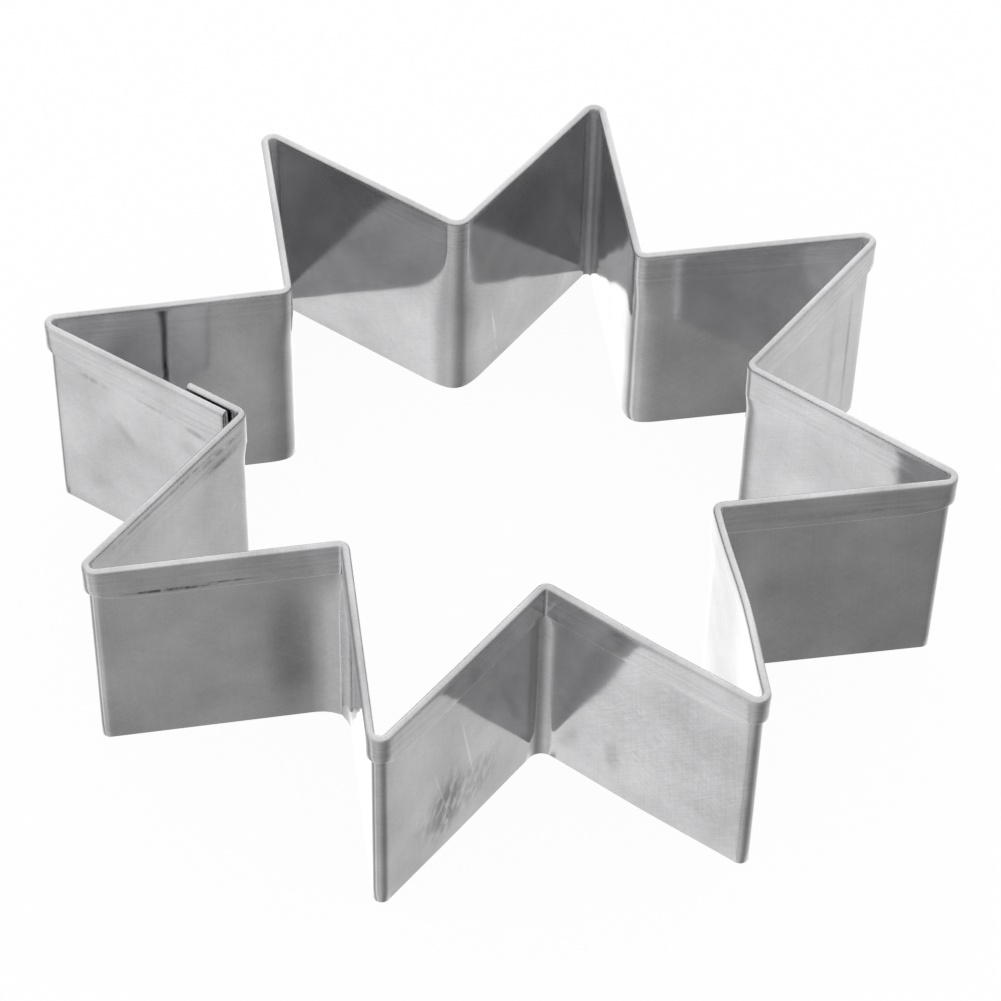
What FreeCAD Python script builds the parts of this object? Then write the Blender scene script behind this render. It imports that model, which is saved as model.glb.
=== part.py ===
"""Star cookie cutter.

One long strip of bright sheet metal. Its top edge is folded over to the outside
as a closed hem, its bottom edge is left as a single sheet that cuts the dough.
The strip is bent round an eight-pointed star. At the valleys the stiff hem
creases sharply, and the plain sheet below it flares out into a wider bend. The
two ends overlap beside one valley, where spot welds join them.

Millimetres. The cutting edge stands on z = 0 with the hem up, the box of the
star is centred on the origin, and the first tip points along +X.
"""
import FreeCAD, Part
import math
import os
from FreeCAD import Rotation, Vector

# Star, to the strip's inside face at its sharp corners
points = 8
tip_reach = 48.2
valley_reach = 26.0

# How far each corner was bent off true, outwards and sideways, anticlockwise from +X
tip_drift = [(-0.5, -0.5), (-0.2, 0.1), (0.4, -0.2), (0.2, -0.2),
             (0.2, 0.6), (-0.6, 0.3), (0.1, -0.3), (0.4, -0.4)]
valley_drift = [(0.0, 0.5), (-0.1, 0.3), (-0.1, -0.3), (0.3, 0.2),
                (0.1, -0.3), (-0.6, 0.3), (0.4, 0.3), (0.2, 0.1)]

# Strip and its hem
height = 25.0
sheet = 0.4
hem_height = 4.1
hem_gap = 0.1

# Bend radii: the inside face at the tips, the hem's outside face at the valleys
tip_bend = 0.5
valley_bend = 0.3

# How much wider than the hem the plain sheet bends at each valley, and how far
# below the hem it takes to get there
valley_spread = [1.0, 1.7, 1.4, 1.4, 1.2, 2.4, 0.8, 1.7]
flare_height = 1.6

# Seam: which valley it lies beside, and how the two ends meet
seam_valley = 4
lap_length = 7.0
lap_clearance = 0.3
end_setback = 2.0

# Spot welds through the lap
weld_count = 2
weld_diameter = 2.4
weld_margin = 3.0

up = Vector(0, 0, 1)
hem_thickness = 2 * sheet + hem_gap
hem_bottom = height - hem_height
flare_bottom = hem_bottom - flare_height


def corner(reach, step, drift):
    """Sharp corner of the star, a number of half steps round from +X."""
    angle = step * math.pi / points
    outwards = Vector(math.cos(angle), math.sin(angle), 0)
    sideways = up.cross(outwards)
    return outwards * (reach + drift[0]) + sideways * drift[1]


def star_corners():
    """The corners anticlockwise, from the seam's valley round to the same valley."""
    corners = []
    for step in range(points):
        valley = seam_valley + step
        tip = valley + 1
        corners.append(corner(valley_reach, 2 * valley + 1, valley_drift[valley % len(valley_drift)]))
        corners.append(corner(tip_reach, 2 * tip, tip_drift[tip % len(tip_drift)]))
    corners.append(corners[0])
    return corners


class Wall:
    """A straight wall of the star: its inside face, seen from above as a line."""

    def __init__(self, start, end):
        self.start = start
        self.along = (end - start).normalize()
        self.outwards = self.along.cross(up)

    def at(self, distance, offset=0.0):
        return self.start + self.along * distance + self.outwards * offset

    def moved(self, offset):
        """The same wall, moved outwards."""
        return Wall(self.at(0, offset), self.at(1, offset))

    def distance_to(self, point):
        return (point - self.start).dot(self.along)

    def crossing(self, other):
        """Where this wall's line meets another's."""
        return self.at((other.start - self.start).dot(other.outwards) / self.along.dot(other.outwards))


class Bend:
    """An upright bend between two walls, all its layers round one axis."""

    def __init__(self, before, after, inside_radius):
        self.before = before
        self.after = after
        is_tip = before.along.cross(after.along).z > 0
        side = 1 if is_tip else -1
        self.turn = side * math.degrees(before.along.getAngle(after.along))
        self.axis_offset = -side * inside_radius
        self.axis = before.moved(self.axis_offset).crossing(after.moved(self.axis_offset))
        self.start = before.distance_to(self.axis)
        self.end = after.distance_to(self.axis)

    def at(self, share, offset, level):
        """A point a share of the way round the bend, outwards from the inside face."""
        outwards = Rotation(up, self.turn * share).multVec(self.before.outwards)
        return self.axis + outwards * (offset - self.axis_offset) + up * level


def hemmed_section(bottom):
    """Section across the strip down to a level: x outwards from the inside face."""
    fold_middle = hem_thickness / 2
    fold_bottom = height - fold_middle
    hem_inside = sheet + hem_gap

    def at(x, z):
        return Vector(x, 0, z)

    edges = [
        Part.LineSegment(at(0, bottom), at(0, fold_bottom)),
        Part.Arc(at(0, fold_bottom), at(fold_middle, height), at(hem_thickness, fold_bottom)),
        Part.LineSegment(at(hem_thickness, fold_bottom), at(hem_thickness, hem_bottom)),
        Part.LineSegment(at(hem_thickness, hem_bottom), at(hem_inside, hem_bottom)),
        Part.LineSegment(at(hem_inside, hem_bottom), at(hem_inside, fold_bottom)),
        Part.Arc(at(hem_inside, fold_bottom), at(fold_middle, height - sheet), at(sheet, fold_bottom)),
        Part.LineSegment(at(sheet, fold_bottom), at(sheet, bottom)),
        Part.LineSegment(at(sheet, bottom), at(0, bottom)),
    ]
    return Part.Face(Part.Wire([edge.toShape() for edge in edges]))


def plain_section(top):
    """Section across the plain sheet, from the cutting edge up to a level."""
    return Part.makePlane(sheet, top, Vector(0, 0, 0), Vector(0, -1, 0), Vector(1, 0, 0))


def placed(section, wall, distance):
    """A section set across a wall at a distance along it."""
    section = section.copy()
    heading = math.degrees(math.atan2(wall.along.y, wall.along.x))
    section.rotate(Vector(0, 0, 0), up, heading - 90)
    section.translate(wall.at(distance))
    return section


def straight(section, wall, start, end):
    return placed(section, wall, start).extrude(wall.along * (end - start))


def bent(section, bend):
    return placed(section, bend.before, bend.start).revolve(bend.axis, up, bend.turn)


def flare(crease, swing):
    """The sheet just below the hem, from the hem's crease to the wider bend."""

    def creased(offset, level):
        start = swing.before.at(swing.start, offset) + up * level
        end = swing.after.at(swing.end, offset) + up * level
        first, middle, last = [crease.at(share, offset, level) for share in (0, 0.5, 1)]
        return [Part.LineSegment(start, first), Part.Arc(first, middle, last), Part.LineSegment(last, end)]

    def swung(offset, level):
        shares = [(third / 3, third / 3 + 1 / 6, third / 3 + 1 / 3) for third in range(3)]
        return [Part.Arc(*[swing.at(share, offset, level) for share in third]) for third in shares]

    def outline(course, level):
        inside = [edge.toShape() for edge in course(0, level)]
        outside = [edge.toShape() for edge in course(sheet, level)]
        start = Part.makeLine(swing.at(0, sheet, level), swing.at(0, 0, level))
        end = Part.makeLine(swing.at(1, 0, level), swing.at(1, sheet, level))
        return Part.Wire(inside + [end] + outside[::-1] + [start])

    return Part.makeLoft([outline(swung, flare_bottom), outline(creased, hem_bottom)], True, True)


def valley(crease, swing):
    """A valley: the hem creased tightly, the sheet below it bent more widely."""
    hem = hemmed_section(hem_bottom)
    return [
        straight(hem, crease.before, swing.start, crease.start),
        bent(hem, crease),
        straight(hem, crease.after, crease.end, swing.end),
        flare(crease, swing),
        bent(plain_section(flare_bottom), swing),
    ]


def weld_spots(lap, start, end):
    """Round welds that bridge the lap, from mid sheet to mid sheet."""
    root = lap.at((start + end) / 2, sheet / 2)
    room = hem_bottom - 2 * weld_margin
    levels = [weld_margin + room * (spot + 0.5) / weld_count for spot in range(weld_count)]
    length = hem_thickness + lap_clearance
    return [Part.makeCylinder(weld_diameter / 2, length, root + up * level, lap.outwards)
            for level in levels]


def star_band():
    """The whole strip, from its lapped end round the star to its short end."""
    corners = star_corners()
    walls = [Wall(start, end) for start, end in zip(corners, corners[1:])]
    lap = walls[-1].moved(-(hem_thickness + lap_clearance))
    walls.insert(0, lap)

    pieces = []
    bends = []
    for number, (before, after) in enumerate(zip(walls, walls[1:])):
        if number % 2:
            bends.append(Bend(before, after, tip_bend))
            pieces.append(bent(hemmed_section(0), bends[-1]))
        else:
            spread = valley_spread[(seam_valley + number // 2) % len(valley_spread)]
            crease_radius = hem_thickness + valley_bend
            bends.append(Bend(before, after, crease_radius + spread))
            pieces += valley(Bend(before, after, crease_radius), bends[-1])

    lap_start = lap.distance_to(corners[0]) - lap_length
    short_end = walls[-1].distance_to(corners[-1]) - end_setback
    starts = [lap_start] + [bend.end for bend in bends]
    ends = [bend.start for bend in bends] + [short_end]
    for wall, start, end in zip(walls, starts, ends):
        pieces.append(straight(hemmed_section(0), wall, start, end))
    pieces += weld_spots(lap, lap_start, short_end)
    return pieces[0].multiFuse(pieces[1:]).removeSplitter()


def centred(shape):
    """The shape moved so that it stands on z = 0 with its box centred on the origin."""
    box = shape.BoundBox
    return shape.translated(Vector(-box.Center.x, -box.Center.y, -box.ZMin))


os.makedirs("parts", exist_ok=True)
centred(star_band()).exportStep("parts/star_band.step")
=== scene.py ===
"""Star cookie cutter: one strip of bright sheet metal, hemmed along its top and bent round a star."""
import math

import bpy
from mathutils import Matrix, Vector


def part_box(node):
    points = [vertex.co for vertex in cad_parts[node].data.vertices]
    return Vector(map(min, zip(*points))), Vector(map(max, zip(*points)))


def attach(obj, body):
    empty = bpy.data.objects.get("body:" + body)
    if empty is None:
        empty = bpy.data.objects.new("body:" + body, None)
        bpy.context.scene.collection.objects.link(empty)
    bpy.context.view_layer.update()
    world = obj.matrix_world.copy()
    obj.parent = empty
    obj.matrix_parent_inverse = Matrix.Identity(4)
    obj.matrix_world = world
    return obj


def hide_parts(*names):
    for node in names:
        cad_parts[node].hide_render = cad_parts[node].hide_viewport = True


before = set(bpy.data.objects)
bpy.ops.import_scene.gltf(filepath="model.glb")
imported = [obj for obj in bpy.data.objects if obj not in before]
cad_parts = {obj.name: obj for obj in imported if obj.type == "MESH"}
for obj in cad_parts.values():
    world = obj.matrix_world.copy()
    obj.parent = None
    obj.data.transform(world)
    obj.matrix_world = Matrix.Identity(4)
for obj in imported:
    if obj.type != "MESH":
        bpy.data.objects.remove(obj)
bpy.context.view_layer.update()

mm = 0.001

# Star, to the strip's inside face at its sharp corners
points = 8
tip_reach = 48.2 * mm
valley_reach = 26.0 * mm

# How far each corner was bent off true, outwards and sideways, anticlockwise from +X, in mm
tip_drift = [(-0.5, -0.5), (-0.2, 0.1), (0.4, -0.2), (0.2, -0.2),
             (0.2, 0.6), (-0.6, 0.3), (0.1, -0.3), (0.4, -0.4)]
valley_drift = [(0.0, 0.5), (-0.1, 0.3), (-0.1, -0.3), (0.3, 0.2),
                (0.1, -0.3), (-0.6, 0.3), (0.4, 0.3), (0.2, 0.1)]

# Strip and its hem
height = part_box("star_band")[1].z
sheet = 0.4 * mm
hem_gap = 0.1 * mm
hem_height = 4.1 * mm
hem_thickness = 2 * sheet + hem_gap
hem_bottom = height - hem_height

# How far the hem's lower edge rises at each tip, how far along that reaches, and how near the
# middle of the bend a vertex lies that rises by all of it, as the cosine of its bearing
hem_lift = 0.8 * mm
lift_reach = 2.4 * mm
lift_middle = 0.8

# Bend radii: the inside face at the tips, and the hem's outside face at each valley, in mm
tip_bend = 0.5 * mm
valley_bend = [0.3, 0.5, 1.0, 0.5, 0.3, 0.3, 0.3, 0.3]

# How the plain sheet bends at each valley: the tight radius in its middle and the gentle one
# on both sides, in mm, and how far round each gentle side goes, in degrees
valley_swing = [(1.6, 8, 10), (1.9, 8, 12), (2.3, 9, 14), (1.8, 8, 12),
                (1.2, 6, 8), (1.0, 5, 33), (1.9, 8, 4), (1.7, 8, 12)]

# Flare from the hem's crease to that wider bend: its height as first drawn, its own depth at
# each valley, in mm, and how far round the valley it reaches
flare_height = 2 * mm
flare_bottom = hem_bottom - flare_height
flare_depth = [2.6, 5, 9, 5, 2.6, 4, 2, 2.6]
flare_reach = 6 * mm

# How far below the flare the sheet is smoothed with it, how much at a time and how often
smoothing_margin = 1 * mm
smoothing_share = 0.5
smoothing_rounds = 6

# Seam: which valley it lies beside, and how the two ends meet
seam_valley = 4
lap_length = 7.6 * mm
lap_clearance = 0.3 * mm
end_setback = 2.0 * mm

# Spot welds through the lap, and the gap that they leave between the plain sheets there
weld_count = 2
weld_diameter = 2.4 * mm
weld_margin = 3.0 * mm
weld_gap = 0.4 * mm
weld_waist = 0.85
weld_segments = 24

# Bow of each wall outwards at its middle, in mm, from the lapped end round to the short end
wall_bow = [0, 0, 0, 0, 0.05, 0.15, 0.35, 0, 0, 0, 0, 0, 0, 0, 0, 0, 0]

# How far from a wall's middle, and from its inside face, the vertices lie that bow by all of it
bow_middle = 0.5 * mm
bow_depth = hem_thickness + 0.2 * mm

# How finely the mesh follows the strip
bend_steps = 12
side_steps = 3
fold_segments = 16
wall_steps = 8
wall_margin = 0.4 * mm
body_rows = 12
flare_rows = 6
hem_rows = 3

# Edges: their radius and its steps, and the angles, in degrees, from which on one is rounded and
# from which on it is shaded as sharp; and how much the large faces set the shading
edge_radius = 0.1 * mm
edge_steps = 2
rounded_angle = 50
sharp_angle = 35
shading_weight = 90

# Name of the vertices along which the rim and the plain sheet are bridged
inside_edge = "inside_edge"

# Camera: its bearing and distance from the star's middle, how far it is moved right and up from
# there, its lens in mm, and how near to it things still show
star_middle = Vector((0.32, -0.13, 0)) * mm
camera_azimuth = -77.957
camera_elevation = 45.464
camera_roll = 1.447
camera_distance = 373.8 * mm
camera_right = 0.82 * mm
camera_above = 6.49 * mm
camera_lens = 124.68
camera_near = 10 * mm

# Metal: its colour, the roughness of its parts, the painted highlight on the hem's cut edge, and the
# scale, detail and strength of its clouds, its grain and its waves
metal_colour = (0.62, 0.62, 0.63)
metal_roughness = 0.07
roughness_swing = 0.05
rim_roughness = 0.3
tip_roughness = 0.7
frost_roughness = 0.14
cut_highlight = 1.4
cloud_scale = 110
cloud_detail = 2
cloud_change = 0.6
grain_scale = 1100
grain_detail = 1
grain_change = 0.08
wave_scale = 75
wave_detail = 1
wave_depth = 0.16 * mm

# Where the rim's satin begins and is full, below the top, and how softly the hem's lines end
rim_start = 0.9 * mm
rim_full = 0.4 * mm
hem_fade = 0.2 * mm

# Sets of fine scratches, and the lines along the hem: angle to the strip, length and width
# in mm, change of tone
scratch_sets = [(32, 3, 0.16, 0.18), (-41, 2.4, 0.2, 0.18), (86, 5, 0.25, 0.12)]
hem_lines = (0, 9, 0.4, 0.4)
streak_detail = 2

# The most scratched part: wall, whether outside, distance along and height in mm, angle,
# half length and half width in mm, softness; and how much stronger the scratches are there
frosted = (5, 1, 14, 11, 0, 15, 13, 0.6)
frost_gain = 0.9

# Marks: wall, whether outside, distance along and height in mm, angle, half length and
# half width in mm, softness, change of tone. Some are painted light, noted where they stand
marks = [
    # Painted shade: broken dark lines along the hem's lower edge, outside wall 2
    (2, 1, 7, 21.5, 0, 5.5, 0.28, 0.5, -0.75), (2, 1, 12.5, 21.8, 0, 4, 0.2, 0.8, -0.5),
    (2, 1, 18.5, 10, 90, 14, 3.2, 0.85, -0.3), (2, 1, 10, 4, 10, 7, 3, 1, -0.1),
    (4, 1, 11, 5.6, 0, 9, 4.6, 0.6, -0.3), (4, 1, 9, 6.5, 80, 7, 3.2, 0.7, -0.25),
    (4, 1, 8.4, 8, -74, 8, 0.2, 0.9, 0.2), (4, 1, 12.6, 11, -78, 9.5, 0.24, 0.9, 0.26),
    (5, 1, 7.1, 5.5, 90, 3.4, 1.4, 0.9, -0.2), (5, 1, 1.6, 4.4, 60, 3.4, 1.6, 0.95, -0.2),
    # The first is a painted reflection: a lighter band at the start of wall 7's outside
    (7, 1, 1.6, 11, 90, 12, 2.2, 0.9, 0.12), (7, 1, 10, 22.2, 0, 11, 0.5, 0.7, -0.14),
    (8, 0, 5, 21.2, 0, 1.9, 1.2, 0.5, -0.25), (8, 0, 9, 23.9, 0, 8, 0.4, 0.8, -0.2),
    (9, 1, 19, 11, 91, 13, 0.5, 1, -0.35), (9, 1, 15.5, 11, 91, 13, 1.1, 1, -0.15),
    (9, 1, 21.5, 11, 91, 13, 0.7, 1, 0.12), (8, 0, 3, 12, 80, 9, 2.6, 1, -0.16),
    (12, 0, 18.2, 4.7, 81, 5, 0.3, 0.6, 0.3),
    # Painted reflection: a lighter zone beside the bend and a darker one across the inside of wall 15
    (15, 0, 3.5, 12, 90, 18, 7, 0.9, 0.3), (15, 0, 16.5, 12, 90, 20, 12, 0.85, -0.26),
    (16, 1, 5, 19.8, -4, 3, 0.6, 0.8, -0.25), (16, 1, 12.5, 20.2, -5, 4, 0.5, 0.8, -0.25),
    (16, 1, 18.5, 19.4, -8, 2.4, 0.6, 0.8, -0.3), (16, 1, 8.8, 14.2, -46, 3, 1, 0.9, -0.16),
    (16, 1, 17.6, 16.7, 20, 2.4, 1.6, 0.9, -0.12), (16, 1, 5, 5, 30, 3, 1.6, 0.9, -0.1),
    (1, 0, 2.8, 21.7, 0, 3, 0.35, 0.5, -0.3), (1, 0, 12, 23.9, 0, 13, 0.3, 0.6, -0.35),
    (1, 0, 3.5, 23.3, 0, 5.5, 0.5, 0.7, -0.35), (1, 0, 3, 22.2, 0, 6, 1.6, 0.9, -0.22),
]

# From which softness on a mark is smooth, not ragged; and the streaks of a ragged one: their
# angle, length and width in mm, and the values between which they show
smooth_mark = 0.85
ragged_streaks = (-70, 1.6, 0.8)
ragged_low = -0.2
ragged_high = 0.06

# The strip's map: how far apart it has the walls, and how far above the inside the outside
wall_room = 30 * mm
outside_shift = 30 * mm
map_margin = 3.5 * mm

# How far a face's normal rises or dips, at most, where the face still counts as upright
upright_slope = 0.2

# Light: its level all round, and each soft light's bearing in degrees, strength and sharpness
light_level = 0.27
soft_lights = [(-149, 0.52, 37), (-111, 0.36, 3.1), (60, 0.51, 1.5), (118, 0.88, 2)]

# The level of the light overhead, and the height, as a sine, from which on it is full
light_overhead = 1.05
overhead_height = 0.8

# Floor: its width in metres, its colour, and how much of its white is its own, to the camera
floor_width = 4
floor_colour = (0.92, 0.92, 0.92)
floor_white = 0.95

up = Vector((0, 0, 1))

# How near two places are that count as one
near = 0.01 * mm


def corner(reach, step, drift):
    """Sharp corner of the star, a number of half steps round from +X."""
    angle = step * math.pi / points
    outwards = Vector((math.cos(angle), math.sin(angle), 0))
    return outwards * (reach + drift[0] * mm) + up.cross(outwards) * drift[1] * mm


def star_corners():
    """The corners anticlockwise, from the seam's valley round to the same valley."""
    corners = []
    for step in range(points):
        valley = seam_valley + step
        tip = valley + 1
        corners.append(corner(valley_reach, 2 * valley + 1, valley_drift[valley % points]))
        corners.append(corner(tip_reach, 2 * tip, tip_drift[tip % points]))
    corners.append(corners[0])
    return corners


class Wall:
    """A straight wall of the star: its inside face, seen from above as a line."""

    def __init__(self, start, end):
        self.start = start
        self.along = (end - start).normalized()
        self.outwards = self.along.cross(up)

    def at(self, distance, offset=0.0):
        return self.start + self.along * distance + self.outwards * offset

    def moved(self, offset):
        return Wall(self.at(0, offset), self.at(1, offset))

    def distance_to(self, point):
        return (point - self.start).dot(self.along)

    def crossing(self, other):
        return self.at((other.start - self.start).dot(other.outwards) / self.along.dot(other.outwards))


class Bend:
    """An upright bend between two walls, all its layers round one axis."""

    def __init__(self, before, after, inside_radius):
        side = 1 if before.along.cross(after.along).z > 0 else -1
        self.turn = side * before.along.angle(after.along)
        self.axis = before.moved(-side * inside_radius).crossing(after.moved(-side * inside_radius))
        self.start = before.distance_to(self.axis)
        self.end = after.distance_to(self.axis)

    def arcs(self):
        """Its single arc: the axis, the turn and the number of steps."""
        return [(self.axis, self.turn, bend_steps)]


class Swing:
    """A wider bend of the plain sheet at a valley: gentle, then tight, then gentle again."""

    def __init__(self, before, after, tight, gentle, share):
        whole = before.along.angle(after.along)
        half = whole / 2
        away = gentle * (1 - math.cos(share)) + tight * (math.cos(share) - math.cos(half))
        ahead = gentle * math.sin(share) + tight * (math.sin(half) - math.sin(share))
        reach = ahead + away * math.tan(half)
        meeting = before.crossing(after)
        self.start = before.distance_to(meeting) - reach
        self.end = after.distance_to(meeting) + reach
        self.axis = before.at(self.start, gentle)
        self.last_axis = after.at(self.end, gentle)
        inwards = Matrix.Rotation(-share, 3, up) @ -before.outwards
        self.middle_axis = self.axis + inwards * (gentle - tight)
        self.share = share
        self.turn = -whole

    def arcs(self):
        """Each arc's axis, its turn and its number of steps."""
        middle_steps = bend_steps - 2 * side_steps
        return [(self.axis, -self.share, side_steps),
                (self.middle_axis, self.turn + 2 * self.share, middle_steps),
                (self.last_axis, -self.share, side_steps)]


class Route:
    """The strip's way round the star, from its lapped end, set back inwards, to its short end."""

    def __init__(self, setback):
        corners = star_corners()
        self.walls = [Wall(start, end) for start, end in zip(corners, corners[1:])]
        lap = self.walls[-1].moved(-setback)
        self.walls.insert(0, lap)
        self.bends = []
        self.creases = []
        for number, (before, after) in enumerate(zip(self.walls, self.walls[1:])):
            is_tip = number % 2
            if is_tip:
                self.bends.append(Bend(before, after, tip_bend))
                self.creases.append(None)
            else:
                valley = (seam_valley + number // 2) % points
                tight, gentle, share = valley_swing[valley]
                self.bends.append(Swing(before, after, tight * mm, gentle * mm, math.radians(share)))
                self.creases.append(Bend(before, after, hem_thickness + valley_bend[valley] * mm))
        self.start = lap.distance_to(corners[0]) - lap_length
        self.end = self.walls[-1].distance_to(corners[-1]) - end_setback

    def stretches(self):
        """Each wall with the distances along it at which its straight stretch starts and ends."""
        starts = [self.start] + [bend.end for bend in self.bends]
        ends = [bend.start for bend in self.bends] + [self.end]
        return zip(self.walls, starts, ends)


def heading(direction):
    """The bearing of a level direction from +X, as a turn for a primitive."""
    return direction.to_2d().angle_signed(Vector((1, 0)))


def away_from(axis, place):
    """How far a place lies from an upright axis."""
    return (place - axis).to_2d().length


def deselect():
    bpy.ops.object.select_all(action="DESELECT")


def join(piece, others):
    """Joins other pieces to a piece, which is then the only one selected."""
    deselect()
    for part in [piece, *others]:
        part.select_set(True)
    bpy.context.view_layer.objects.active = piece
    bpy.ops.object.join()


def pick(piece, chosen):
    """In edit mode, selects the vertices that a test picks, and nothing else."""
    bpy.ops.mesh.select_mode(type="VERT")
    bpy.ops.mesh.select_all(action="DESELECT")
    bpy.ops.object.mode_set(mode="OBJECT")
    for vertex in piece.data.vertices:
        vertex.select = chosen(vertex)
    bpy.ops.object.mode_set(mode="EDIT")


def settle(piece):
    """Puts a piece's place into its mesh, so that its object sits at the origin."""
    bpy.ops.object.transform_apply(location=True, rotation=True, scale=True)
    return piece


def extrude(move):
    bpy.ops.mesh.extrude_region_move(TRANSFORM_OT_translate={"value": move})


def drag(wall, start, end, steps):
    """Draws the selected section straight along a wall."""
    for step in range(steps):
        extrude(wall.along * ((end - start) / steps))


def drag_wall(wall, start, end):
    """Draws the selected section along a whole wall, with a short step beside each bend."""
    drag(wall, start, start + wall_margin, 1)
    drag(wall, start + wall_margin, end - wall_margin, wall_steps)
    drag(wall, end - wall_margin, end, 1)


def turn(axis, angle, steps):
    """Draws the selected section round an upright axis."""
    bpy.ops.mesh.spin(steps=steps, angle=-angle, center=axis, axis=up)


def hem_section(route):
    """The folded rim's section at the lapped end: down the inside, over the fold, down the hem."""
    wall = route.walls[0]
    fold_radius = hem_thickness / 2
    fold_bottom = height - fold_radius
    deselect()
    bpy.ops.mesh.primitive_circle_add(
        vertices=fold_segments, radius=fold_radius,
        location=wall.at(route.start, fold_radius) + up * fold_bottom,
        rotation=(math.pi / 2, 0, heading(wall.outwards)))
    piece = settle(bpy.context.object)
    bpy.ops.object.mode_set(mode="EDIT")
    pick(piece, lambda vertex: vertex.co.z < fold_bottom - near)
    bpy.ops.mesh.delete(type="VERT")
    pick(piece, lambda vertex: vertex.co.z < fold_bottom + near)
    for row in range(hem_rows):
        extrude(up * ((hem_bottom - fold_bottom) / hem_rows))
    foot = wall.at(route.start) + up * hem_bottom
    pick(piece, lambda vertex: (vertex.co - foot).length < near)
    piece.vertex_groups.new(name=inside_edge)
    bpy.ops.object.vertex_group_assign()
    bpy.ops.mesh.select_all(action="SELECT")
    return piece


def body_section(route):
    """The plain sheet's section at the lapped end: an upright line from the cutting edge."""
    deselect()
    bpy.ops.mesh.primitive_plane_add(size=1 * mm, location=route.walls[0].at(route.start))
    piece = settle(bpy.context.object)
    bpy.ops.object.mode_set(mode="EDIT")
    bpy.ops.mesh.merge(type="CENTER")
    for row in range(body_rows):
        extrude(up * (flare_bottom / body_rows))
    piece.vertex_groups.new(name=inside_edge)
    bpy.ops.object.vertex_group_assign()
    bpy.ops.mesh.select_all(action="SELECT")
    return piece


def sweep(section, route, creased):
    """Draws a section round the whole star. A creased one turns tightly at the valleys."""
    piece = section(route)
    for number, (wall, start, end) in enumerate(route.stretches()):
        drag_wall(wall, start, end)
        if number == len(route.bends):
            break
        bend = route.bends[number]
        crease = route.creases[number]
        if crease and creased:
            drag(wall, bend.start, crease.start, side_steps)
            turn(crease.axis, crease.turn, bend_steps - 2 * side_steps)
            drag(route.walls[number + 1], crease.end, bend.end, side_steps)
        else:
            for axis, angle, steps in bend.arcs():
                turn(axis, angle, steps)
    bpy.ops.object.mode_set(mode="OBJECT")
    return piece


def finish_with(piece, kind, **settings):
    """Adds a modifier, sets it and applies it."""
    modifier = piece.modifiers.new(kind.lower(), kind)
    for name, value in settings.items():
        setattr(modifier, name, value)
    bpy.ops.object.modifier_apply(modifier=modifier.name)


def stretch(piece, share, level, chosen):
    """Draws the picked vertices away from a level, or towards it."""
    pick(piece, chosen)
    bpy.ops.transform.resize(value=(1, 1, share), center_override=(0, 0, level))


def soften_flares(piece, route):
    """Gives each valley's flare its own depth, and lets the crease run gently into the wider bend."""
    for number, crease in enumerate(route.creases[::2]):
        depth = flare_depth[(seam_valley + number) % points] * mm

        def between(low, high):
            return lambda vertex: (low < vertex.co.z < high
                                   and away_from(crease.axis, vertex.co) < flare_reach)

        stretch(piece, (hem_bottom - depth) / flare_bottom, 0, between(-near, flare_bottom + near))
        stretch(piece, depth / flare_height, hem_bottom, between(flare_bottom + near, hem_bottom - near))
        pick(piece, between(hem_bottom - depth - smoothing_margin, hem_bottom - near))
        bpy.ops.mesh.vertices_smooth(factor=smoothing_share, repeat=smoothing_rounds)


def folded_sheet(route, plain_route):
    """The strip's good face as one open surface: the rim, the plain sheet, and the flare between."""
    band = sweep(hem_section, route, True)
    join(band, [sweep(body_section, plain_route, False)])
    bpy.ops.object.mode_set(mode="EDIT")
    bpy.ops.mesh.select_mode(type="EDGE")
    bpy.ops.mesh.select_all(action="DESELECT")
    bpy.ops.object.vertex_group_select()
    bpy.ops.mesh.bridge_edge_loops(number_cuts=flare_rows, interpolation="SURFACE")
    soften_flares(band, route)
    bpy.ops.mesh.select_all(action="SELECT")
    bpy.ops.mesh.normals_make_consistent(inside=False)
    bpy.ops.object.mode_set(mode="OBJECT")
    crest = max(band.data.polygons, key=lambda face: face.center.z)
    if crest.normal.z < 0:
        band.data.flip_normals()
    return band


def push(piece, move, reach, chosen):
    """Moves the picked vertices, and takes the sheet round them along, less and less."""
    pick(piece, chosen)
    bpy.ops.transform.translate(
        value=move, use_proportional_edit=True, proportional_edit_falloff="SMOOTH",
        proportional_size=reach, use_proportional_connected=True)


def bow_walls(piece, route):
    """Gives each wall the slight bow that bending left in it."""
    bpy.ops.object.mode_set(mode="EDIT")
    for (wall, start, end), bow in zip(route.stretches(), wall_bow):
        middle = (start + end) / 2
        if bow:
            push(piece, wall.outwards * bow * mm, (end - start) / 2,
                 lambda vertex: abs(wall.distance_to(vertex.co) - middle) < bow_middle
                 and abs((vertex.co - wall.start).dot(wall.outwards)) < bow_depth)
    bpy.ops.object.mode_set(mode="OBJECT")


def lift_hem(piece, route):
    """Raises the hem's lower edge at each tip, where the fold is stretched round the bend."""
    low = tip_bend + sheet
    high = tip_bend + hem_thickness + near
    bpy.ops.object.mode_set(mode="EDIT")
    for tip in route.bends[1::2]:
        push(piece, up * hem_lift, lift_reach,
             lambda vertex: abs(vertex.co.z - hem_bottom) < near
             and low < away_from(tip.axis, vertex.co) < high
             and is_round(vertex.co, tip))
    bpy.ops.object.mode_set(mode="OBJECT")


def is_round(place, bend):
    """Whether a place lies in the middle of a tip's bend, seen from its axis."""
    outwards = (place - bend.axis).to_2d()
    return outwards.normalized().dot(bend.axis.to_2d().normalized()) > lift_middle


def extent(piece):
    """The lowest and highest corner of a piece's box."""
    spans = [[vertex.co[axis] for vertex in piece.data.vertices] for axis in range(3)]
    return Vector([min(span) for span in spans]), Vector([max(span) for span in spans])


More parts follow.
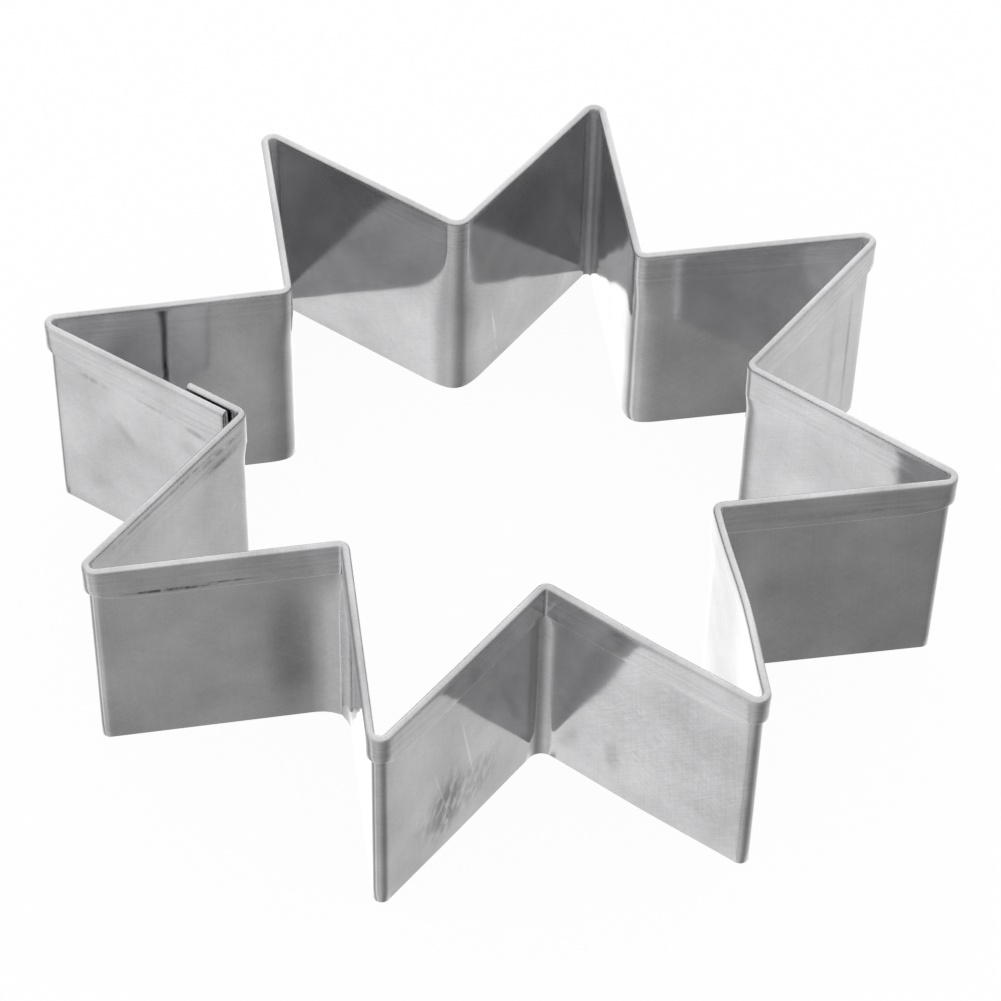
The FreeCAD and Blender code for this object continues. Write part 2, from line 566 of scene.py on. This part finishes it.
def make_weld(lap, distance, level):
    """A round weld, drawn in a little at its waist, from mid sheet to mid sheet."""
    deselect()
    bpy.ops.mesh.primitive_circle_add(
        vertices=weld_segments, radius=weld_diameter / 2, fill_type="NGON",
        location=lap.at(distance, sheet / 2) + up * level,
        rotation=(math.pi / 2, 0, heading(lap.along)))
    piece = settle(bpy.context.object)
    bpy.ops.object.mode_set(mode="EDIT")
    for share in (weld_waist, 1 / weld_waist):
        extrude(lap.outwards * ((sheet + weld_gap) / 2))
        bpy.ops.transform.resize(value=(share, share, share))
    bpy.ops.mesh.select_all(action="SELECT")
    bpy.ops.mesh.normals_make_consistent(inside=False)
    bpy.ops.object.mode_set(mode="OBJECT")
    return piece


def weld_lap(band, route):
    """Joins the strip's two ends by a row of spot welds through the middle of the lap."""
    middle = (route.start + route.end) / 2
    room = hem_bottom - 2 * weld_margin
    levels = [weld_margin + room * (spot + 0.5) / weld_count for spot in range(weld_count)]
    join(band, [make_weld(route.walls[0], middle, level) for level in levels])


def make_band():
    """The whole cutter: the folded surface, given its thickness and its edges, and welded."""
    route = Route(hem_thickness + lap_clearance)
    plain_route = Route(sheet + weld_gap)
    band = folded_sheet(route, plain_route)
    band.name = "band"
    lift_hem(band, route)
    bow_walls(band, route)
    finish_with(band, "SOLIDIFY", thickness=sheet, offset=-1, use_even_offset=True,
                use_quality_normals=True)
    finish_with(band, "BEVEL", width=edge_radius, segments=edge_steps, limit_method="ANGLE",
                angle_limit=math.radians(rounded_angle))
    weld_lap(band, plain_route)

    # It is centred in the solid's box, with its cutting edge flat on the ground
    low, high = extent(band)
    cad_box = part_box("star_band")
    move = (cad_box[0] + cad_box[1] - low - high) / 2
    move.z = cad_box[1].z - high.z
    bpy.ops.transform.translate(value=move)
    settle(band)
    bpy.ops.object.mode_set(mode="EDIT")
    stretch(band, 0, 0, lambda vertex: vertex.co.z < near)
    bpy.ops.object.mode_set(mode="OBJECT")
    bpy.ops.object.shade_smooth_by_angle(angle=math.radians(sharp_angle))
    finish_with(band, "WEIGHTED_NORMAL", weight=shading_weight, keep_sharp=True)
    map_strip(band, route, move)
    return band


def strip_place(number, distance, level, outside):
    """A place on the strip's map: metres along the strip, and up it, the outside above the inside."""
    return Vector((number * wall_room + distance, level + (outside_shift if outside else 0), 0))


def nearest_stretch(place, stretches):
    """The number of the wall whose straight stretch lies nearest to a place."""

    def miss(number):
        wall, start, end = stretches[number]
        along = wall.distance_to(place)
        away = (place - wall.start).dot(wall.outwards)
        return max(start - along, along - end, 0) + abs(away - sheet)

    return min(range(len(stretches)), key=miss)


def map_strip(piece, route, shift):
    """Gives the mesh a map of the strip, laid out flat, and marks the tips' bends and the hem's cut."""
    layer = piece.data.uv_layers.new(name="strip")
    bent = piece.data.attributes.new("bent", "FLOAT", "CORNER")
    cut = piece.data.attributes.new("cut", "FLOAT", "CORNER")
    stretches = list(route.stretches())
    for face in piece.data.polygons:
        place = face.center - shift
        number = nearest_stretch(place, stretches)
        wall, start, end = stretches[number]
        along = wall.distance_to(place)
        ends_in_tip = number % 2
        in_tip = along > end if ends_in_tip else 0 < number and along < start
        upright = abs(face.normal.z) < upright_slope
        outside = face.normal.dot(wall.outwards) > 0
        is_cut = face.normal.z < -upright_slope and place.z > hem_bottom - near
        for index in face.loop_indices:
            vertex = piece.data.vertices[piece.data.loops[index].vertex_index].co - shift
            along = min(max(wall.distance_to(vertex), start - map_margin), end + map_margin) - start
            layer.data[index].uv = strip_place(number, along, vertex.z, outside).to_2d()
            bent.data[index].value = 1 if in_tip and upright and not outside else 0
            cut.data[index].value = 1 if is_cut else 0


def new_node(tree, kind, settings=None, **values):
    """Adds a node, with its settings and with a value or a link for each named input."""
    node = tree.nodes.new("ShaderNode" + kind)
    for name, value in (settings or {}).items():
        setattr(node, name, value)
    for name, value in values.items():
        connect(tree, node.inputs[name.replace("_", " ")], value)
    return node


def connect(tree, socket, value):
    """Links a socket to another one's value, or sets its own."""
    if isinstance(value, bpy.types.NodeSocket):
        tree.links.new(value, socket)
    else:
        socket.default_value = value


def calculate(tree, operation, first, second=0.0, third=0.0):
    """A math node's result."""
    node = new_node(tree, "Math", {"operation": operation})
    for socket, value in zip(node.inputs, (first, second, third)):
        connect(tree, socket, value)
    return node.outputs[0]


def calculate_vector(tree, operation, first, *second):
    """A vector math node's result."""
    node = new_node(tree, "VectorMath", {"operation": operation})
    for socket, value in zip(node.inputs, (first, *second)):
        connect(tree, socket, value)
    return node.outputs["Value" if operation in ("LENGTH", "DOT_PRODUCT") else "Vector"]


def new_group(name, vectors, values, result):
    """Starts a node group with its inputs, vectors and values, and one value as its output."""
    group = bpy.data.node_groups.new(name, "ShaderNodeTree")
    for label in vectors:
        group.interface.new_socket(label, in_out="INPUT", socket_type="NodeSocketVector")
    for label in values:
        group.interface.new_socket(label, in_out="INPUT", socket_type="NodeSocketFloat")
    group.interface.new_socket(result, in_out="OUTPUT", socket_type="NodeSocketFloat")
    return group, group.nodes.new("NodeGroupInput").outputs, group.nodes.new("NodeGroupOutput").inputs[0]


def use_group(tree, group, **values):
    """Places a node group in a material, with its inputs, and gives its output."""
    return new_node(tree, "Group", {"node_tree": group}, **values).outputs[0]


def streaks_group():
    """Long fine streaks that run across the strip's map at an angle, from -0.5 to 0.5."""
    group, given, result = new_group("streaks", ["Place"], ["Angle", "Length", "Width"], "Streaks")
    turned = new_node(group, "VectorRotate", {"rotation_type": "Z_AXIS"},
                      Vector=given["Place"], Angle=given["Angle"]).outputs[0]
    scale = new_node(group, "CombineXYZ", X=calculate(group, "DIVIDE", 1.0, given["Length"]),
                     Y=calculate(group, "DIVIDE", 1.0, given["Width"]), Z=1.0).outputs[0]
    noise = new_node(group, "TexNoise", Vector=calculate_vector(group, "MULTIPLY", turned, scale),
                     Scale=1.0, Detail=streak_detail)
    connect(group, result, calculate(group, "SUBTRACT", noise.outputs[0], 0.5))
    return group


def mark_group():
    """A soft long spot on the strip's map, 1 in its middle and 0 outside."""
    group, given, result = new_group(
        "mark", ["Place"], ["Along", "Level", "Angle", "Half Length", "Half Width", "Softness"], "Mark")
    middle = new_node(group, "CombineXYZ", X=given["Along"], Y=given["Level"]).outputs[0]
    away = calculate_vector(group, "SUBTRACT", given["Place"], middle)
    turned = new_node(group, "VectorRotate", {"rotation_type": "Z_AXIS"}, Vector=away,
                      Angle=calculate(group, "MULTIPLY", given["Angle"], -1.0))
    parts = new_node(group, "SeparateXYZ", Vector=turned.outputs[0]).outputs
    across = new_node(group, "CombineXYZ", X=calculate(group, "DIVIDE", parts["X"], given["Half Length"]),
                      Y=calculate(group, "DIVIDE", parts["Y"], given["Half Width"])).outputs[0]
    edge = new_node(group, "MapRange", {"interpolation_type": "SMOOTHSTEP"},
                    Value=calculate_vector(group, "LENGTH", across),
                    From_Min=calculate(group, "SUBTRACT", 1.0, given["Softness"]), To_Min=1.0, To_Max=0.0)
    connect(group, result, edge.outputs[0])
    return group


def wear_and_painted_light(tree, group, place, spot):
    """One mark's shape: wall, whether outside, distance along, height, angle, half sizes, softness."""
    number, outside, along, rise, angle, length, width, softness = spot
    at = strip_place(number, along * mm, rise * mm, outside)
    return use_group(tree, group, Place=place, Along=at.x, Level=at.y, Angle=math.radians(angle),
                     Half_Length=length * mm, Half_Width=width * mm, Softness=softness)


def lines(tree, group, place, angle, length, width):
    """A set of streaks: their angle, their length and their width in mm."""
    return use_group(tree, group, Place=place, Angle=math.radians(angle), Length=length * mm,
                     Width=width * mm)


def make_bright_sheet():
    """Bright rolled sheet metal, with the fine scratches, streaks and smudges of handling, painted
    reflections and shade on some walls, and a painted highlight on the hem's cut edge.
    """
    material = bpy.data.materials.new("bright_sheet")
    material.use_nodes = True
    tree = material.node_tree
    place = new_node(tree, "UVMap", {"uv_map": "strip"}).outputs["UV"]
    spot = new_node(tree, "TexCoord").outputs["Object"]
    streaks = streaks_group()
    mark = mark_group()

    def noise(scale, detail):
        return new_node(tree, "TexNoise", Vector=spot, Scale=scale, Detail=detail).outputs[0]

    def add(change, share, total):
        return calculate(tree, "MULTIPLY_ADD", change, share, total)

    clouds = noise(cloud_scale, cloud_detail)
    grain = noise(grain_scale, grain_detail)
    tone = add(calculate(tree, "SUBTRACT", clouds, 0.5), cloud_change, 1.0)
    tone = add(calculate(tree, "SUBTRACT", grain, 0.5), grain_change, tone)
    frost = wear_and_painted_light(tree, mark, place, frosted)
    scratched = add(frost, frost_gain, 1.0)
    for angle, length, width, change in scratch_sets:
        scratches = lines(tree, streaks, place, angle, length, width)
        tone = add(calculate(tree, "MULTIPLY", scratches, scratched), change, tone)

    level = new_node(tree, "SeparateXYZ", Vector=spot).outputs["Z"]
    on_hem = new_node(tree, "MapRange", Value=level, From_Min=hem_bottom - hem_fade,
                      From_Max=hem_bottom + hem_fade).outputs[0]
    *size, change = hem_lines
    tone = add(calculate(tree, "MULTIPLY", lines(tree, streaks, place, *size), on_hem), change, tone)

    ragged = new_node(tree, "MapRange", Value=lines(tree, streaks, place, *ragged_streaks),
                      From_Min=ragged_low, From_Max=ragged_high).outputs[0]
    # Marks darken or lighten the tone; some of them are painted reflections and painted shade
    for *mark_values, change in marks:
        shape = wear_and_painted_light(tree, mark, place, mark_values)
        softness = mark_values[-1]
        if softness < smooth_mark:
            shape = calculate(tree, "MULTIPLY", shape, ragged)
        tone = add(shape, change, tone)

    # Painted highlight: the faces of the hem's cut edge are made lighter
    cut = new_node(tree, "Attribute", {"attribute_name": "cut"}).outputs["Fac"]
    tone = add(cut, cut_highlight, tone)
    metal = new_node(tree, "VectorMath", {"operation": "SCALE"}, Scale=tone)
    metal.inputs[0].default_value = metal_colour
    rim = new_node(tree, "MapRange", Value=level, From_Min=height - rim_start,
                   From_Max=height - rim_full).outputs[0]
    bent = new_node(tree, "Attribute", {"attribute_name": "bent"}).outputs["Fac"]
    roughness = add(rim, rim_roughness - metal_roughness, metal_roughness)
    roughness = add(clouds, roughness_swing, roughness)
    roughness = add(bent, tip_roughness - metal_roughness, roughness)
    roughness = add(frost, frost_roughness - metal_roughness, roughness)
    roughness = add(cut, rim_roughness - metal_roughness, roughness)

    bump = new_node(tree, "Bump", Height=noise(wave_scale, wave_detail), Strength=1.0,
                    Distance=wave_depth)
    shader = tree.nodes["Principled BSDF"]
    connect(tree, shader.inputs["Metallic"], 1)
    connect(tree, shader.inputs["Base Color"], metal.outputs[0])
    connect(tree, shader.inputs["Roughness"], roughness)
    connect(tree, shader.inputs["Normal"], bump.outputs[0])
    return material


def mix_shaders(tree, share, first, second):
    """A shader that is the first one, and a share of it the second."""
    mixed = new_node(tree, "MixShader")
    for socket, value in zip(mixed.inputs, (share, first, second)):
        connect(tree, socket, value)
    return mixed.outputs[0]


def make_floor():
    """A plain pale floor. Reflections and their light pass through it to the white sweep round it."""
    deselect()
    bpy.ops.mesh.primitive_plane_add(size=floor_width)
    floor = bpy.context.object
    floor.name = "floor"
    material = bpy.data.materials.new("floor_white")
    material.use_nodes = True
    tree = material.node_tree
    shader = tree.nodes["Principled BSDF"]
    connect(tree, shader.inputs["Base Color"], (*floor_colour, 1))
    connect(tree, shader.inputs["Roughness"], 1)
    connect(tree, shader.inputs["Specular IOR Level"], 0)
    ray = new_node(tree, "LightPath").outputs
    white = new_node(tree, "Emission", Strength=1).outputs[0]
    clear = new_node(tree, "BsdfTransparent").outputs[0]
    share = calculate(tree, "MULTIPLY", ray["Is Camera Ray"], floor_white)
    seen = mix_shaders(tree, share, shader.outputs[0], white)
    passed = calculate(tree, "MAXIMUM", ray["Is Glossy Ray"], ray["Is Shadow Ray"])
    whole = mix_shaders(tree, passed, seen, clear)
    connect(tree, tree.nodes["Material Output"].inputs["Surface"], whole)
    floor.data.materials.append(material)


def soft_light_group():
    """How much of one soft light's glow lies in a level direction."""
    group, given, result = new_group("soft_light", ["Direction", "Towards"], ["Sharpness"], "Glow")
    facing = calculate_vector(group, "DOT_PRODUCT", given["Direction"], given["Towards"])
    ahead = calculate(group, "MAXIMUM", facing, 0.0)
    connect(group, result, calculate(group, "POWER", ahead, given["Sharpness"]))
    return group


def make_world():
    """A white studio with soft lights round it, dimmer on the camera's right."""
    world = bpy.data.worlds.new("studio")
    bpy.context.scene.world = world
    world.use_nodes = True
    tree = world.node_tree
    direction = new_node(tree, "TexCoord").outputs["Generated"]
    level = calculate_vector(tree, "MULTIPLY", direction, (1, 1, 0))
    bearing = calculate_vector(tree, "NORMALIZE", level)
    group = soft_light_group()
    total = light_level
    for azimuth, strength, sharpness in soft_lights:
        angle = math.radians(azimuth)
        glow = use_group(tree, group, Direction=bearing, Towards=(math.cos(angle), math.sin(angle), 0),
                         Sharpness=sharpness)
        total = calculate(tree, "MULTIPLY_ADD", glow, strength, total)
    rise = new_node(tree, "SeparateXYZ", Vector=direction).outputs["Z"]
    high = new_node(tree, "MapRange", {"interpolation_type": "SMOOTHSTEP"}, Value=rise, From_Min=0,
                    From_Max=overhead_height).outputs["Result"]
    light = new_node(tree, "Mix", Factor=high, A=total, B=light_overhead).outputs["Result"]
    ray = new_node(tree, "LightPath").outputs
    seen = new_node(tree, "Mix", Factor=ray["Is Camera Ray"], A=light, B=1).outputs["Result"]
    background = tree.nodes["Background"]
    connect(tree, background.inputs["Color"], (1, 1, 1, 1))
    connect(tree, background.inputs["Strength"], seen)


def make_camera():
    """The camera of the photograph: its bearing from the star, its roll and its place."""
    azimuth = math.radians(camera_azimuth)
    elevation = math.radians(camera_elevation)
    back = Vector((math.cos(elevation) * math.cos(azimuth), math.cos(elevation) * math.sin(azimuth),
                   math.sin(elevation)))
    level = up.cross(back).normalized()
    roll = Matrix.Rotation(math.radians(camera_roll), 3, back)
    right = roll @ level
    above = roll @ back.cross(level)
    data = bpy.data.cameras.new("camera")
    data.lens = camera_lens
    data.clip_start = camera_near
    camera = bpy.data.objects.new("camera", data)
    bpy.context.scene.collection.objects.link(camera)
    camera.matrix_world = Matrix((right, above, back)).transposed().to_4x4()
    camera.location = star_middle + back * camera_distance + right * camera_right + above * camera_above
    bpy.context.scene.camera = camera


bpy.context.scene.view_settings.view_transform = "Standard"

band = make_band()
band.data.materials.append(make_bright_sheet())
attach(band, "root")
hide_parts("star_band")

make_floor()
make_world()
make_camera()
